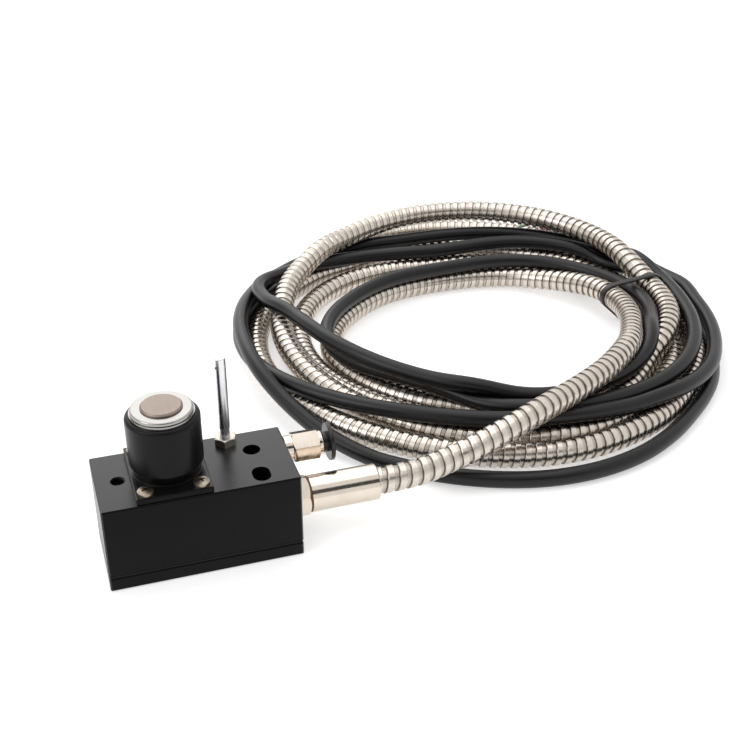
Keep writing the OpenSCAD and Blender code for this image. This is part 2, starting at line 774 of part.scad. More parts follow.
module core_leads() {
    colours = ["#a5242c", "#9fc4b4"];
    for (j = [0, 1])
        color(colours[j])
            sweep([for (p = core_route) [p[0], -gland_y + (2 * j - 1) * core_y, p[1]]], core_d, core_sides);
}

module tube_bush() {
    color("#d6d3ce") translate([tube_x, air_y, block_top]) difference() {
        union() {
            rotate([0, 0, tube_hex_turn]) turned_hex(tube_hex_af, tube_hex_h, tube_hex_chamfer, false);
            translate([0, 0, -tube_stud_l]) cylinder(d = tube_stud_d, h = tube_stud_l + over);
        }
        translate([0, 0, tube_hex_h - tube_socket])
            cylinder(d = tube_neck_d + 2 * seat_gap, h = tube_socket + over);
        translate([0, 0, -tube_stud_l - over]) cylinder(d = tube_bore, h = tube_stud_l + tube_hex_h);
    }
}

module blow_tube() {
    color("#cfcfd1") translate([tube_x, air_y, 0]) difference() {
        rotate_extrude() polygon([
            [0, tube_neck_z], [tube_neck_d / 2, tube_neck_z],
            [tube_neck_d / 2, tube_foot], [tube_d / 2 - tube_chamfer, tube_foot],
            [tube_d / 2, tube_foot + tube_chamfer], [tube_d / 2, tube_top - tube_chamfer],
            [tube_d / 2 - tube_chamfer, tube_top], [0, tube_top]
        ]);
        translate([0, 0, tube_neck_z - over])
            cylinder(d = tube_bore, h = tube_top - jet_drop + jet_d - tube_neck_z + over);
        translate([0, 0, tube_top - jet_drop]) rotate([0, 0, jet_heading]) rotate([0, 90, 0])
            cylinder(d = jet_d, h = tube_d);
    }
}

module air_fitting() {
    color("#e2d9cb") at_air_port() difference() {
        union() {
            translate([0, 0, -air_stud_l]) cylinder(d = air_stud_d, h = air_stud_l + air_washer_t + over);
            translate([0, 0, air_collar_x]) cylinder(d = air_collar_d, h = air_collar_l + over);
            translate([0, 0, air_hex_x]) rotate([0, 0, air_hex_turn])
                turned_hex(air_hex_af, air_hex_l, air_hex_chamfer, true);
            translate([0, 0, air_nose_x - over]) rotate_extrude() {
                square([air_nose_d / 2 - air_nose_l / 2, over + air_nose_l]);
                square([air_nose_d / 2, over + air_nose_l / 2]);
                translate([air_nose_d / 2 - air_nose_l / 2, over + air_nose_l / 2]) circle(air_nose_l / 2);
            }
        }
        translate([0, 0, -air_stud_l - over]) cylinder(d = air_way_d, h = air_stud_l + air_end_x);
        translate([0, 0, tube_stop_x]) cylinder(d = air_tube_d + 2 * seat_gap, h = air_end_x);
        translate([0, 0, seal_x]) cylinder(d = seal_pocket_d, h = air_end_x - seal_x);
        translate([0, 0, gripper_x]) cylinder(d = release_bore_d, h = air_end_x - gripper_x + over);
    }
}

module air_washer() {
    color("#2a2a2c") at_air_port() difference() {
        cylinder(d = air_collar_d - 1, h = air_washer_t);
        translate([0, 0, -over]) cylinder(d = air_stud_d + 2 * pass_gap, h = air_washer_t + 2 * over);
    }
}

module tube_seal() {
    color("#161616") at_air_port() translate([0, 0, seal_x + seat_gap + seal_d / 2])
        rotate_extrude() translate([seal_r, 0]) circle(d = seal_d);
}

module tube_gripper() {
    lip = 0.4;
    color("#d8d8da") at_air_port() translate([0, 0, gripper_x]) rotate_extrude() polygon([
        [release_bore_d / 2 - seat_gap, 0], [release_bore_d / 2 - seat_gap, gripper_l],
        [release_bore_d / 2 - lip, gripper_l], [release_bore_d / 2 - lip, lip],
        [air_tube_d / 2 + pass_gap, lip], [air_tube_d / 2 + pass_gap, 0]
    ]);
}

module release_ring() {
    color("#161618") at_air_port() rotate_extrude() difference() {
        union() {
            translate([0, release_foot]) square([release_sleeve_d / 2, release_rim_x - release_foot + over]);
            translate([0, release_rim_x]) square([release_d / 2 - release_t / 4, release_t]);
            translate([0, release_rim_x + release_t / 4]) square([release_d / 2, release_t / 2]);
            for (k = [1, 3]) translate([release_d / 2 - release_t / 4, release_rim_x + k * release_t / 4])
                circle(release_t / 4);
        }
        translate([0, release_foot - over]) square([release_bore / 2, release_rim_x + release_t]);
    }
}

module gland_nut() {
    color("#ddd5c9") at_gland() difference() {
        rotate([0, 0, gland_nut_turn]) turned_hex(gland_nut_af, gland_nut_t, gland_nut_chamfer, true);
        translate([0, 0, -over]) cylinder(d = gland_stud_d + 2 * seat_gap, h = gland_nut_t + 2 * over);
    }
}

module gland_gasket() {
    color("#5a3620") at_gland() translate([0, 0, gland_gasket_x]) difference() {
        cylinder(d = gland_d, h = gland_gasket_t);
        translate([0, 0, -over]) cylinder(d = gland_stud_d + 2 * pass_gap, h = gland_gasket_t + 2 * over);
    }
}

module gland_sleeve() {
    color("#e8dfd3") at_gland() difference() {
        union() {
            translate([0, 0, -gland_stud_l])
                cylinder(d = gland_stud_d, h = gland_stud_l + gland_sleeve_x + over);
            translate([0, 0, gland_sleeve_x]) rotate_extrude() polygon([
                [0, 0], [gland_d / 2 - gland_chamfer / 2, 0], [gland_d / 2, gland_chamfer / 2],
                [gland_d / 2, gland_l - gland_chamfer], [gland_d / 2 - gland_chamfer, gland_l], [0, gland_l]
            ]);
        }
        translate([0, 0, -gland_stud_l - over]) cylinder(d = core_way_d, h = gland_stud_l + gland_end_x);
        translate([0, 0, hose_foot_x]) cylinder(d = hose_socket_d, h = hose_depth + over);
    }
}

module hose_lead() {
    color("#cfc6bd") translate([end_x + gland_end_x, -gland_y, gland_z])
        sweep(lead_route, hose_d, lead_sides);
}

// Places children at the middle of the coil, on the floor
module at_coil() {
    translate([end_x + gland_end_x + coil_x, coil_y - gland_y, 0]) children();
}

// Places the tie's section upright across the coil
module at_tie() {
    at_coil() rotate([90, 0, tie_angle]) children();
}

module cord_coil() {
    color("#5b5653") difference() {
        at_coil() rotate_extrude($fn = 96) polygon(coil_section);
        at_tie() linear_extrude(tie_w + 2 * tie_gap, center = true)
            translate([tie_reach, -over]) square([tie_t + 2 * tie_gap, coil_h + 2 * over]);
    }
}

module cable_tie() {
    color("#1a1a1a") at_tie() linear_extrude(tie_w, center = true) difference() {
        polygon(tie_section(tie_gap + tie_t, 0));
        polygon(tie_section(tie_gap, -over));
    }
}

block();
base_plate();
base_gasket();
base_screws();
vent_plug();
head_base();
flange_screws();
guide_bush();
wiper_ring();
return_spring();
head_sleeve();
cap_ring();
contact_disc();
plunger_shaft();
contact_bridge();
bridge_screw();
contact_carrier();
contact_pins();
carrier_screws();
core_leads();
tube_bush();
blow_tube();
air_fitting();
air_washer();
tube_seal();
tube_gripper();
release_ring();
gland_nut();
gland_gasket();
gland_sleeve();
hose_lead();
cord_coil();
cable_tie();
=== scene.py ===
"""Looks of the tool setter: its finishes, hose and cable coil, tie, neck thread and studio."""
import logging
import math
from dataclasses import dataclass
from enum import Enum

import bpy
import numpy as np
from bpy.types import Material, Node, NodeSocket, NodeTree, Object
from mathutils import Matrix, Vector


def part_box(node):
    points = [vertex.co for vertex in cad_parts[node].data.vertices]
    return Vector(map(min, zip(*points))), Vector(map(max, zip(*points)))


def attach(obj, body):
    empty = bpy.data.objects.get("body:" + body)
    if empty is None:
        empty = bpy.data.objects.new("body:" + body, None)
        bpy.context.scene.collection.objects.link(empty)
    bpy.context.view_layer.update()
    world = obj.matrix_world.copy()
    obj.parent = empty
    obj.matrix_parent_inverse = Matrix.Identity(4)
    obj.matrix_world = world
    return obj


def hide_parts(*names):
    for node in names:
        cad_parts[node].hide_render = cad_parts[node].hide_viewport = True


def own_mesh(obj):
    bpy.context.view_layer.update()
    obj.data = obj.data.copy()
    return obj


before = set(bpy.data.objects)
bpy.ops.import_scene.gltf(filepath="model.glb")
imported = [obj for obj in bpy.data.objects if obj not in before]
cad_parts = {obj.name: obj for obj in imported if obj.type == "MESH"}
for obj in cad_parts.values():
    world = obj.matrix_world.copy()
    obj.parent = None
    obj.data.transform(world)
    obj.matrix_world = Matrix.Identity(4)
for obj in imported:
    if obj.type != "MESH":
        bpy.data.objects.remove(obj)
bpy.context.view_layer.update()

LOG = logging.getLogger("tool_setter")
MM = 0.001
# Blender's noise seldom goes outside these values.
NOISE_SPAN = (0.3, 0.7)
# Points that a rounded curve gets between two of the points that it passes through.
CURVE_STEPS = 24
Colour = tuple[float, float, float, float]
Point = tuple[float, float, float]


def linear(code: str) -> Colour:
    """Turn an sRGB hex colour into linear light.

    Args:
        code: Colour as "#rrggbb".

    Returns:
        Linear red, green, blue and an alpha of 1.
    """
    shares = [int(code[i:i + 2], 16) / 255 for i in (1, 3, 5)]
    red, green, blue = (c / 12.92 if c <= 0.04045 else ((c + 0.055) / 1.055) ** 2.4 for c in shares)
    return red, green, blue, 1.0


WHITE = linear("#ffffff")


def add_node(tree: NodeTree, kind: str, settings: dict | None = None,
             inputs: dict | None = None) -> Node:
    """Add a node with its settings, input values and links.

    Args:
        tree: Node tree that gets the node.
        kind: Blender's name of the node type.
        settings: Properties of the node, by name.
        inputs: Input values, or output sockets to link, by the input's name or number.

    Returns:
        The new node.
    """
    node = tree.nodes.new(kind)
    for key, value in (settings or {}).items():
        setattr(node, key, value)
    for key, value in (inputs or {}).items():
        if isinstance(value, NodeSocket):
            tree.links.new(value, node.inputs[key])
        else:
            node.inputs[key].default_value = value
    return node


class Grain(Enum):
    """How the marks of making run on a surface; the value is the stretch (round, along) the axis."""

    EVEN = (1.0, 1.0)
    TURNED = (0.03, 1.0)
    DRAWN = (1.0, 0.03)


class Axis(Enum):
    """Axis that turned or drawn marks follow."""

    X = 0
    Y = 1
    Z = 2


@dataclass(frozen=True)
class Finish:
    """A surface: its two colours, gloss, and the marks that its making leaves.

    colour and shade mottle each other over patches of mottle_mm, and roughness runs between its two values
    with the marks, which are grain_mm wide and stand bump_mm high. Real marks are too fine to show in the
    render, so these are drawn as coarse as they need to be.
    """

    name: str
    colour: str
    shade: str
    roughness: tuple[float, float]
    metallic: float = 0.0
    specular: float = 0.5
    grain: Grain = Grain.EVEN
    axis: Axis = Axis.Z
    grain_mm: float = 0.4
    mottle_mm: float = 9.0
    bump_mm: float = 0.01

    def material(self) -> Material:
        """Return the material, made on first use."""
        made = bpy.data.materials.get(self.name)
        if made:
            return made
        made = bpy.data.materials.new(self.name)
        made.use_nodes = True
        tree = made.node_tree
        shader = tree.nodes["Principled BSDF"]
        shader.inputs["Metallic"].default_value = self.metallic
        shader.inputs["Specular IOR Level"].default_value = self.specular
        self.draw(tree, shader)
        return made

    def draw(self, tree: NodeTree, shader: Node) -> None:
        """Link the marks and the mottle to the shader.

        Args:
            tree: The material's node tree.
            shader: Its principled shader.
        """
        place = add_node(tree, "ShaderNodeTexCoord").outputs["Object"]
        marks = self.marks(tree, place)
        self.gloss(tree, shader, marks)
        tree.links.new(self.mottle(tree, place), shader.inputs["Base Color"])

    def marks(self, tree: NodeTree, place: NodeSocket) -> NodeSocket:
        """Draw the marks of making: noise, stretched round or along the axis.

        Args:
            tree: The material's node tree.
            place: Coordinates in metres.

        Returns:
            The marks' height, 0 to 1.
        """
        around, along = self.grain.value
        stretch = [around] * 3
        stretch[self.axis.value] = along
        mapped = add_node(tree, "ShaderNodeMapping", inputs={"Vector": place, "Scale": stretch})
        return add_node(tree, "ShaderNodeTexNoise", inputs={
            "Vector": mapped.outputs[0], "Scale": 1 / (self.grain_mm * MM), "Detail": 2.0}).outputs[0]

    def gloss(self, tree: NodeTree, shader: Node, marks: NodeSocket) -> None:
        """Let the marks set roughness and bump.

        Args:
            tree: The material's node tree.
            shader: Its principled shader.
            marks: The marks' height, 0 to 1.
        """
        low, high = self.roughness
        bump = add_node(tree, "ShaderNodeBump", inputs={"Height": marks, "Distance": self.bump_mm * MM})
        tree.links.new(bump.outputs[0], shader.inputs["Normal"])
        spread = add_node(tree, "ShaderNodeMapRange", inputs={
            "Value": marks, "From Min": NOISE_SPAN[0], "From Max": NOISE_SPAN[1],
            "To Min": low, "To Max": high})
        tree.links.new(spread.outputs[0], shader.inputs["Roughness"])

    def mottle(self, tree: NodeTree, place: NodeSocket) -> NodeSocket:
        """Mix the two colours in soft patches.

        Args:
            tree: The material's node tree.
            place: Coordinates in metres.

        Returns:
            The surface's colour.
        """
        cloud = add_node(tree, "ShaderNodeTexNoise", inputs={
            "Vector": place, "Scale": 1 / (self.mottle_mm * MM), "Detail": 3.0})
        return add_node(tree, "ShaderNodeMix", {"data_type": "RGBA"}, {
            0: cloud.outputs[0], 6: linear(self.colour), 7: linear(self.shade)}).outputs[2]


@dataclass(frozen=True)
class StripFinish(Finish):
    """Strip-wound steel: bright on the rolled rim, with painted shade in the joints and on the lower band."""

    # Painted shade: the colour that the joints and the lower band darken towards.
    joint_shade: str = "#463b33"

    def draw(self, tree: NodeTree, shader: Node) -> None:
        """Paint shade on the strip by its "crest" attribute: the lower it is, the nearer to the joint_shade
        colour.

        Args:
            tree: The material's node tree.
            shader: Its principled shader.
        """
        super().draw(tree, shader)
        crest = add_node(tree, "ShaderNodeAttribute", {"attribute_name": "crest"}).outputs["Fac"]
        strip = shader.inputs["Base Color"].links[0].from_socket
        shaded_strip = add_node(tree, "ShaderNodeMix", {"data_type": "RGBA"}, {
            0: crest, 6: linear(self.joint_shade), 7: strip})
        tree.links.new(shaded_strip.outputs[2], shader.inputs["Base Color"])


@dataclass(frozen=True)
class SheenFinish(Finish):
    """Dyed anodising: its gloss is weak head on and grows to slant_specular at a slant."""

    slant_specular: float = 0.5
    # Share of a full slant where the gloss starts to grow, and where it has grown.
    slant: tuple[float, float] = (0.2, 0.5)

    def draw(self, tree: NodeTree, shader: Node) -> None:
        """Let the gloss grow with the slant.

        Args:
            tree: The material's node tree.
            shader: Its principled shader.
        """
        super().draw(tree, shader)
        start, grown = self.slant
        lean = add_node(tree, "ShaderNodeLayerWeight", inputs={"Blend": 0.5}).outputs["Facing"]
        gloss = add_node(tree, "ShaderNodeMapRange", inputs={
            "Value": lean, "From Min": start, "From Max": grown,
            "To Min": self.specular, "To Max": self.slant_specular})
        tree.links.new(gloss.outputs[0], shader.inputs["Specular IOR Level"])


@dataclass(frozen=True)
class JacketFinish(Finish):
    """Extruded jacket: faint lines run along its length, on the tube's own UV map."""

    def draw(self, tree: NodeTree, shader: Node) -> None:
        """Draw lines along the jacket.

        Args:
            tree: The material's node tree.
            shader: Its principled shader.
        """
        run = add_node(tree, "ShaderNodeUVMap", {"uv_map": "run"}).outputs[0]
        self.gloss(tree, shader, self.marks(tree, run))
        tree.links.new(self.mottle(tree, run), shader.inputs["Base Color"])


# Satin black anodising on bead-blasted aluminium: near black head on, with a soft grey sheen at a slant.
ANODISED = SheenFinish("black_anodised_aluminium", "#0d0b0b", "#110f0f", (0.27, 0.34), specular=0.1,
                       grain_mm=0.35, mottle_mm=14.0, bump_mm=0.005, slant_specular=0.45)
# Black anodising on a finely turned tube: smooth, so its highlight is a narrow upright streak.
SLEEVE = Finish("turned_black_anodised_sleeve", "#0d0d0f", "#121214", (0.28, 0.32), specular=0.15,
                grain=Grain.TURNED, grain_mm=0.5, bump_mm=0.0)
# Oxidised steel plug: dark grey, with a glint on its chamfer.
OXIDE = Finish("oxidised_steel", "#8d8a87", "#7a7774", (0.34, 0.44), 1.0,
               grain=Grain.TURNED, grain_mm=0.4, bump_mm=0.003)
# Zinc-plated screw heads: grey with a trace of yellow, bright on the rim only.
SCREW = Finish("zinc_plated_screw", "#a0978b", "#8c7d6b", (0.28, 0.4), 1.0,
               grain_mm=0.5, mottle_mm=2.5, bump_mm=0.004)
# Turned and polished steel: bright, its reflections softened by fine turning rings.
POLISHED = Finish("turned_polished_steel", "#a6a4a1", "#9a9894", (0.16, 0.26), 1.0,
                  grain=Grain.TURNED, grain_mm=0.3, bump_mm=0.002)
# Ground hard metal: warm grey, with a flat even haze.
HARD_METAL = Finish("ground_hard_metal", "#948880", "#877b73", (0.42, 0.5), 1.0,
                    grain=Grain.DRAWN, axis=Axis.Y, grain_mm=0.35, bump_mm=0.004)
# Stainless steel of screws and shaft: bright with a trace of warmth.
STAINLESS = Finish("bright_stainless_steel", "#d8d2c9", "#c4b59c", (0.16, 0.3), 1.0,
                   grain_mm=0.5, mottle_mm=2.5, bump_mm=0.004)
# Drawn spring wire: darker steel with a soft gloss.
SPRING = Finish("drawn_spring_steel", "#b9b9bb", "#9d9da0", (0.22, 0.34), 1.0, grain_mm=0.3, bump_mm=0.003)
# Nickel plate on brass: pale and warm, glossy, with a slight waviness from the plating.
NICKEL = Finish("nickel_plated_brass", "#ded5ca", "#d0c3b3", (0.1, 0.2), 1.0,
                grain=Grain.TURNED, axis=Axis.X, grain_mm=0.35, mottle_mm=6.0, bump_mm=0.002)
# Satin nickel plate of the hex bush: a soft haze, so each side takes one even tone.
BUSH = Finish("satin_nickel_plate", "#c4bfb7", "#b5afa5", (0.37, 0.45), 1.0,
              grain=Grain.TURNED, grain_mm=0.35, bump_mm=0.001)
# Chromed tube: cold and bright, with faint draw lines along it that widen its highlight.
CHROME = Finish("chromed_drawn_tube", "#e6e6e8", "#d6d6d9", (0.22, 0.32), 1.0,
                grain=Grain.DRAWN, grain_mm=0.3, bump_mm=0.002)
# Sintered bronze of the guide bush: brown-yellow, speckled by its pores.
BRONZE = Finish("sintered_bronze", "#b98a4e", "#8f6534", (0.3, 0.45), 1.0,
                grain_mm=0.25, mottle_mm=1.5, bump_mm=0.01)
# Turned brass of the contacts: yellow and bright.
BRASS = Finish("turned_brass", "#d8b163", "#c39a4c", (0.15, 0.28), 1.0,
               grain=Grain.TURNED, grain_mm=0.3, bump_mm=0.003)
# Pressed laminate of the contact carrier: brown and dull.
LAMINATE = Finish("pressed_laminate", "#7c4a2c", "#6a3d24", (0.45, 0.6), grain_mm=0.3, bump_mm=0.01)
# PVC insulation of the cores: dull red, half gloss.
CORE = Finish("pvc_core_insulation", "#a4463c", "#963c34", (0.35, 0.5), grain_mm=0.4, bump_mm=0.004)
# Nitrile rubber: dull black.
RUBBER = Finish("nitrile_rubber", "#161616", "#1e1d1d", (0.55, 0.72), specular=0.35,
                grain_mm=0.3, bump_mm=0.02)
# Black acetal of the push ring: deep black with a soft pale reflection on its rim.
ACETAL = Finish("black_acetal", "#0a0a0b", "#101012", (0.28, 0.36), grain_mm=0.6, bump_mm=0.003)
# Brown fibre gasket: matt and fibrous.
FIBRE = Finish("brown_fibre_gasket", "#8a6a4a", "#745638", (0.6, 0.8), specular=0.3,
               grain_mm=0.25, mottle_mm=1.2, bump_mm=0.03)
# Rolled stainless strip of the hose: warm silver, soft gloss, with painted shade in the joints.
STRIP = StripFinish("rolled_stainless_strip", "#dad2c9", "#c6bcb1", (0.22, 0.32), 1.0,
                    grain_mm=0.6, mottle_mm=7.0, bump_mm=0.006)
# PVC cable jacket: deep black, half gloss, so that light draws a soft streak along it.
JACKET = JacketFinish("black_pvc_jacket", "#09080a", "#0d0c0e", (0.31, 0.39), specular=0.36,
                      grain=Grain.DRAWN, axis=Axis.X, grain_mm=0.7, mottle_mm=18.0, bump_mm=0.02)
# Shrunk polyolefin sleeve: a little paler and glossier than the jacket.
SHRINK = JacketFinish("shrunk_polyolefin_sleeve", "#161617", "#1f1e20", (0.28, 0.4),
                      grain=Grain.DRAWN, axis=Axis.X, grain_mm=0.8, bump_mm=0.01)
# Nylon of the tie: black, half gloss.
NYLON = Finish("black_nylon", "#151516", "#1d1c1d", (0.34, 0.46), grain_mm=0.5, bump_mm=0.006)
# PVC wire insulation, red and pale green: half gloss, with faint lines along it.
WIRE_RED = JacketFinish("red_pvc_wire", "#a8322c", "#96281f", (0.35, 0.45),
                        grain=Grain.DRAWN, axis=Axis.X)
WIRE_GREEN = JacketFinish("green_pvc_wire", "#8fae8a", "#7f9f7c", (0.35, 0.45),
                          grain=Grain.DRAWN, axis=Axis.X)


def deselect_all() -> None:
    """Return to object mode with nothing selected."""
    if bpy.context.object and bpy.context.object.mode != "OBJECT":
        bpy.ops.object.mode_set(mode="OBJECT")
    bpy.ops.object.select_all(action="DESELECT")


def hold(piece: Object) -> None:
    """Make a piece the only selected one, and active.

    Args:
        piece: The piece to work on.
    """
    deselect_all()
    piece.select_set(True)
    bpy.context.view_layer.objects.active = piece


def close_up(piece: Object, angle_deg: float = 35.0) -> None:
    """Merge doubles, turn faces outwards and smooth all but the sharp edges.

    Args:
        piece: Mesh piece to finish.
        angle_deg: Edges sharper than this stay crisp.
    """
    hold(piece)
    bpy.ops.object.mode_set(mode="EDIT")
    bpy.ops.mesh.select_all(action="SELECT")
    bpy.ops.mesh.remove_doubles(threshold=0.001 * MM)
    bpy.ops.mesh.normals_make_consistent(inside=False)
    bpy.ops.object.mode_set(mode="OBJECT")
    bpy.ops.object.shade_smooth_by_angle(angle=math.radians(angle_deg))


def apply_all(piece: Object) -> None:
    """Apply a piece's modifiers in order, then its place, turn and scale.

    Args:
        piece: Mesh piece with modifiers.
    """
    hold(piece)
    for modifier in list(piece.modifiers):
        bpy.ops.object.modifier_apply(modifier=modifier.name)
    bpy.ops.object.transform_apply(location=True, rotation=True, scale=True)


def dress(piece: Object, finish: Finish) -> None:
    """Give a piece its one material.

    Args:
        piece: CAD node or new piece.
        finish: The finish it gets.
    """
    piece.data.materials.clear()
    piece.data.materials.append(finish.material())


def carry(piece: Object, finish: Finish) -> None:
    """Dress a new piece and let it ride on the housing.

    Args:
        piece: New piece.
        finish: The finish it gets.
    """
    dress(piece, finish)
    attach(piece, "housing")
    LOG.info("piece %s: %d faces", piece.name, len(piece.data.polygons))


def run_along(points: np.ndarray) -> np.ndarray:
    """Return the distance along a line at each of its points."""
    return np.concatenate([[0.0], np.cumsum(np.linalg.norm(np.diff(points, axis=0), axis=1))])


def smooth_curve(points: np.ndarray, step: float) -> np.ndarray:
    """Run a rounded curve through points and space it evenly.

    Args:
        points: Points to pass through, one a row.
        step: Spacing of the result, in the points' unit.

    Returns:
        Evenly spaced points.
    """
    ends = np.vstack([2 * points[0] - points[1], points, 2 * points[-1] - points[-2]])
    knots = np.concatenate([[0.0], np.cumsum(np.linalg.norm(np.diff(ends, axis=0), axis=1) ** 0.5)])
    dense = []
    for i in range(1, len(ends) - 2):
        t0, t1, t2, t3 = knots[i - 1:i + 3]
        a, b, c, d = ends[i - 1:i + 3]
        t = np.linspace(t1, t2, CURVE_STEPS, endpoint=False)[:, None]
        ab = ((t1 - t) * a + (t - t0) * b) / (t1 - t0)
        bc = ((t2 - t) * b + (t - t1) * c) / (t2 - t1)
        cd = ((t3 - t) * c + (t - t2) * d) / (t3 - t2)
        left = ((t2 - t) * ab + (t - t0) * bc) / (t2 - t0)
        right = ((t3 - t) * bc + (t - t1) * cd) / (t3 - t1)
        dense.append(((t2 - t) * left + (t - t1) * right) / (t2 - t1))
    return even(np.vstack(dense + [points[-1:]]), step)


def even(points: np.ndarray, step: float) -> np.ndarray:
    """Space points evenly along their own line.

    Args:
        points: Points of a line, one a row.
        step: Wanted spacing.

    Returns:
        Evenly spaced points with the same ends.
    """
    run = run_along(points)
    marks = np.linspace(0.0, run[-1], max(2, round(run[-1] / step)) + 1)
    return np.column_stack([np.interp(marks, run, points[:, k]) for k in range(3)])


class Line:
    """A centreline in metres with cross directions that don't twist along it."""

    def __init__(self, points: np.ndarray) -> None:
        """Work out the run and the cross directions.

        Args:
            points: Evenly spaced points in metres.
        """
        self.points = points
        self.run = run_along(points)
        ahead = np.gradient(points, axis=0)
        ahead /= np.linalg.norm(ahead, axis=1)[:, None]
        side = np.zeros_like(points)
        start = np.cross(ahead[0], (0.0, 0.0, 1.0))
        side[0] = start / np.linalg.norm(start)
        for i in range(1, len(points)):
            turned = side[i - 1] - ahead[i] * np.dot(side[i - 1], ahead[i])
            side[i] = turned / np.linalg.norm(turned)
        self.side = side
        self.up = np.cross(side, ahead)

    @property
    def length(self) -> float:
        """Length of the line in metres."""
        return float(self.run[-1])

    def ring(self, run: np.ndarray, angle: np.ndarray, radius: np.ndarray) -> np.ndarray:
        """Place points round the line.

        Args:
            run: Distance along the line of each point.
            angle: Turn round the line of each point, in radians.
            radius: Distance from the line of each point.

        Returns:
            The points, one a row.
        """
        middle, side, up = (np.column_stack([np.interp(run, self.run, a[:, k]) for k in range(3)])
                            for a in (self.points, self.side, self.up))
        return middle + radius[:, None] * (np.cos(angle)[:, None] * side + np.sin(angle)[:, None] * up)


def mesh_piece(name: str, points: np.ndarray, faces: list[tuple[int, ...]]) -> Object:
    """Make an object from points and faces.

    Args:
        name: Name of the piece.
        points: Points in metres.
        faces: Point numbers of each face.

    Returns:
        The new object, linked to the scene.
    """
    mesh = bpy.data.meshes.new(name)
    mesh.from_pydata(points.tolist(), [], faces)
    piece = bpy.data.objects.new(name, mesh)
    bpy.context.scene.collection.objects.link(piece)
    return piece


def tube(name: str, line: Line, stations: list[tuple[float, float]], sides: int) -> Object:
    """Sweep a round tube, closed at both ends, with a UV map that runs along it.

    Args:
        name: Name of the piece.
        line: Centreline.
        stations: Distance along the line and radius of each ring.
        sides: Faces round the tube.

    Returns:
        The tube.
    """
    turn = np.linspace(0.0, 2 * math.pi, sides, endpoint=False)
    points = np.vstack([line.ring(np.full(sides, s), turn, np.full(sides, r)) for s, r in stations])
    faces = []
    for i in range(len(stations) - 1):
        for k in range(sides):
            a, b = i * sides + k, i * sides + (k + 1) % sides
            faces.append((a, b, b + sides, a + sides))
    last = (len(stations) - 1) * sides
    faces.append(tuple(reversed(range(sides))))
    faces.append(tuple(range(last, last + sides)))
    piece = mesh_piece(name, points, faces)
    layer = piece.data.uv_layers.new(name="run")
    for face in piece.data.polygons:
        wraps = max(v % sides for v in face.vertices) - min(v % sides for v in face.vertices) > sides / 2
        for loop in face.loop_indices:
            number = piece.data.loops[loop].vertex_index
            ring, k = divmod(number, sides)
            around = sides if wraps and k == 0 else k
            s, r = stations[ring]
            layer.data[loop].uv = (s, around / sides * 2 * math.pi * r)
    close_up(piece)
    return piece


@dataclass(frozen=True)
class Turn:
    """One turn of the coil, in mm: reach from the middle and height at eight compass points.

    The first point is at the right, and the next ones follow by way of the back, the left and the front.
    """

    reach: tuple[float, ...]
    height: tuple[float, ...]


